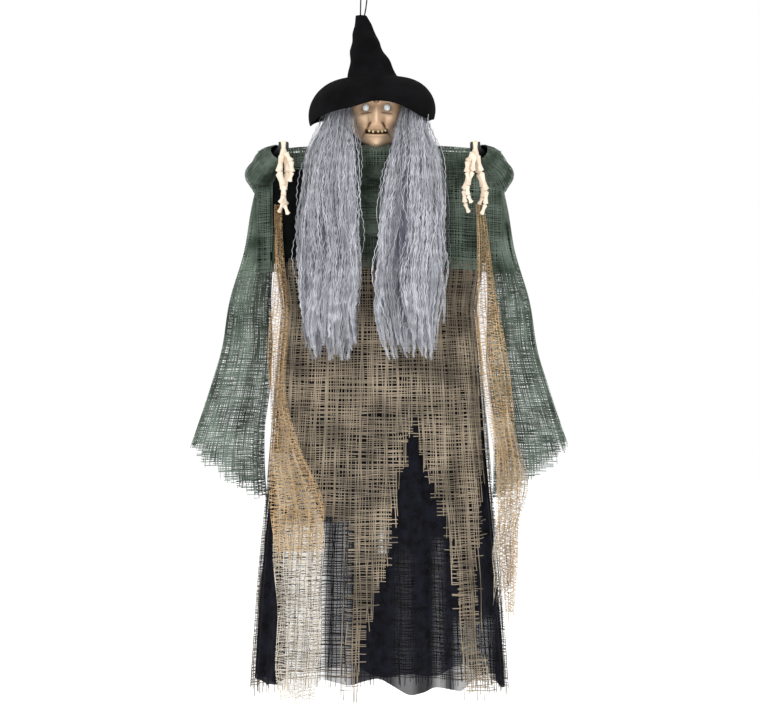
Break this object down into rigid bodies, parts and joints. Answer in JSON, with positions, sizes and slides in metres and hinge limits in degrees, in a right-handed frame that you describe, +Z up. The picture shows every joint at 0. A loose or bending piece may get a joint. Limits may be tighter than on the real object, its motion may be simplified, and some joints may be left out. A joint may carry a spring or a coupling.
{
  "type": "hanging animated witch figure",
  "caption": "Hanging fabric witch decoration with felt hat, long grey hair, moulded face, gauze robe and bony hands on geared arms.",
  "frame": {"origin": "top of the hanging cord loop", "axes": "+Z up along the hanging cord, the figure faces -Y, +X is to a viewer's right"},
  "size_m": [0.636, 0.253, 1.185],
  "materials": {
    "black_felt": "matte felt",
    "grey_hair": "crimped synthetic fibre",
    "skin": "painted moulded vinyl",
    "bone": "moulded, satin",
    "eye_lens": "translucent",
    "green_burlap": "open weave",
    "black_cloth": "thin, sheer",
    "tan_gauze": "loose gauze",
    "black_plastic": "moulded",
    "white_plastic": "moulded",
    "steel": "drawn",
    "brass": "plain",
    "circuit_green": "lacquered board",
    "cell_sleeve": "printed sleeve, unmarked",
    "black_cord": "braided cord"
  },
  "bodies": {
    "head": {"hanging_loop": "black_cord", "loop_toggle": "white_plastic", "hat_crown": "black_felt", "hat_brim": "black_felt", "hair_left": "grey_hair", "hair_right": "grey_hair", "hair_back": "grey_hair", "mask_face": "skin", "skull_back": "skin", "eye_left": "eye_lens", "eye_right": "eye_lens", "led_left": "white_plastic", "led_right": "white_plastic", "led_lead": "black_cord", "neck_bearing": "white_plastic"},
    "torso": {"neck_tube": "white_plastic", "neck_washer": "steel", "housing_front": "black_plastic", "housing_back": "black_plastic", "housing_screw_1": "steel", "housing_screw_2": "steel", "housing_screw_3": "steel", "housing_screw_4": "steel", "sound_sensor": "black_plastic", "speaker": "steel", "battery_tray": "black_plastic", "battery_1": "cell_sleeve", "battery_2": "cell_sleeve", "battery_3": "cell_sleeve", "contact_strip_left": "brass", "contact_strip_right": "brass", "circuit_board": "circuit_green", "switch_body": "black_plastic", "button_switch": "black_plastic", "gearbox": "white_plastic", "motor": "steel", "shaft_bush_left": "brass", "shaft_bush_right": "brass", "poncho": "green_burlap", "robe": "black_cloth", "gauze_skirt": "tan_gauze", "sleeve_wing_left": "green_burlap", "sleeve_wing_right": "green_burlap"},
    "arms": {"arm_shaft": "steel", "sector_gear": "white_plastic", "arm_left": "black_plastic", "arm_right": "black_plastic", "wrist_pin_left": "steel", "wrist_pin_right": "steel", "sleeve_left": "green_burlap", "sleeve_right": "green_burlap", "streamer_left": "tan_gauze", "streamer_right": "tan_gauze"},
    "pinion": {"drive_pinion": "white_plastic", "motor_shaft": "steel"},
    "hand_left": {"hand_left": "bone"},
    "hand_right": {"hand_right": "bone"},
    "switch": {"switch_slider": "white_plastic"},
    "button": {"try_button": "white_plastic"},
    "door": {"battery_door": "black_plastic"}
  },
  "joints": [
    {"name": "neck_swivel", "type": "hinge", "parent": "head", "child": "torso", "pos_m": [0.021, 0, -0.255], "axis": [0, 0, 1], "range_deg": [-10, 10]},
    {"name": "arm_lift", "type": "hinge", "parent": "torso", "child": "arms", "pos_m": [0.026, 0, -0.3], "axis": [1, 0, 0], "range_deg": [-10, 10], "deforming": ["streamer_left", "streamer_right"]},
    {"name": "pinion_turn", "type": "hinge", "parent": "torso", "child": "pinion", "pos_m": [0.006, 0, -0.3261], "axis": [1, 0, 0], "range_deg": [-36, 36]},
    {"name": "wrist_left", "type": "hinge", "parent": "arms", "child": "hand_left", "pos_m": [-0.131, -0.111, -0.274], "axis": [1, 0, 0], "range_deg": [-25, 25]},
    {"name": "wrist_right", "type": "hinge", "parent": "arms", "child": "hand_right", "pos_m": [0.183, -0.111, -0.274], "axis": [1, 0, 0], "range_deg": [-25, 25]},
    {"name": "switch_slide", "type": "slide", "parent": "torso", "child": "switch", "axis": [0, 0, 1], "range_m": [0, 0.008]},
    {"name": "button_press", "type": "slide", "parent": "torso", "child": "button", "axis": [0, -1, 0], "range_m": [0, 0.002], "stiffness_N_per_m": 300},
    {"name": "door_slide", "type": "slide", "parent": "torso", "child": "door", "axis": [0, 0, -1], "range_m": [0, 0.055]}
  ],
  "couplings": [
    {"joint": "pinion_turn", "follows": "arm_lift", "ratio": -3.3333}
  ]
}
